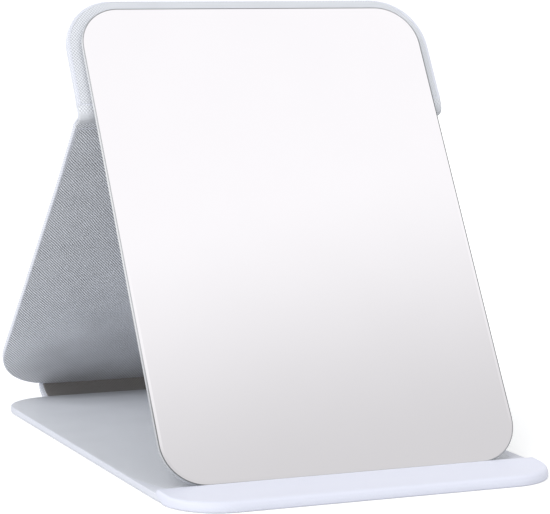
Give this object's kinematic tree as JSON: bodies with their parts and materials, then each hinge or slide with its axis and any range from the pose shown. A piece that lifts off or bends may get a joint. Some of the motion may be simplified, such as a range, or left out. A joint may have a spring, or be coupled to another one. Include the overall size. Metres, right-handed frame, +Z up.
{
  "type": "folding table mirror",
  "caption": "Rectangular table mirror on a soft cover that folds in three: base, narrow spine, leaning rear panel and the upper panel that holds the glass.",
  "frame": {"origin": "middle of the base's underside, on the table", "axes": "+X across the mirror to the right as the user faces it, +Y from the front of the base to its rear, +Z up"},
  "size_m": [0.1552, 0.2382, 0.1779],
  "materials": {
    "pu_outer": "fine cross-hatched PU leather, pale cool grey, satin",
    "pu_lining": "fine cross-hatched PU leather, pale cool grey, satin",
    "pu_spine": "fine cross-hatched PU leather, dark taupe, matt",
    "padding": "thin foam padding",
    "board": "grey bookbinding board",
    "magnet": "nickel plated",
    "keeper": "plain steel",
    "tape": "dark double-sided foam tape",
    "backing": "matt dark grey plate",
    "mirror": "silvered glass, polished and bevelled edge"
  },
  "bodies": {
    "base": {"base_outer_skin": "pu_outer", "base_foam": "padding", "base_board": "board", "base_lining": "pu_lining", "closure_magnets": "magnet", "front_hem_skin": "pu_outer", "front_hem_foam": "padding"},
    "spine": {"spine_outer_skin": "pu_outer", "spine_lining": "pu_spine"},
    "rear_panel": {"rear_outer_skin": "pu_outer", "rear_foam": "padding", "rear_board": "board", "rear_lining": "pu_lining", "rear_crease": "pu_lining"},
    "mirror_panel": {"upper_outer_skin": "pu_outer", "upper_foam": "padding", "upper_board": "board", "upper_lining": "pu_lining", "upper_crease": "pu_lining", "keeper_plates": "keeper", "mounting_tape": "tape", "mirror_backing": "backing", "mirror_glass": "mirror"}
  },
  "joints": [
    {"name": "spine_fold", "type": "hinge", "parent": "base", "child": "spine", "pos_m": [0, 0.11504, 0.00145], "axis": [-1, 0, 0], "range_deg": [0, 33]},
    {"name": "rear_fold", "type": "hinge", "parent": "spine", "child": "rear_panel", "pos_m": [0, 0.12376, 0.00711], "axis": [-1, 0, 0], "range_deg": [0, 101.3]},
    {"name": "apex_fold", "type": "hinge", "parent": "rear_panel", "child": "mirror_panel", "pos_m": [0, -0.00139, 0.13536], "axis": [1, 0, 0], "range_deg": [0, 75.1]}
  ],
  "couplings": [
    {"joint": "spine_fold", "follows": "rear_fold", "ratio": 0.32577},
    {"joint": "apex_fold", "follows": "rear_fold", "ratio": 0.74136}
  ]
}
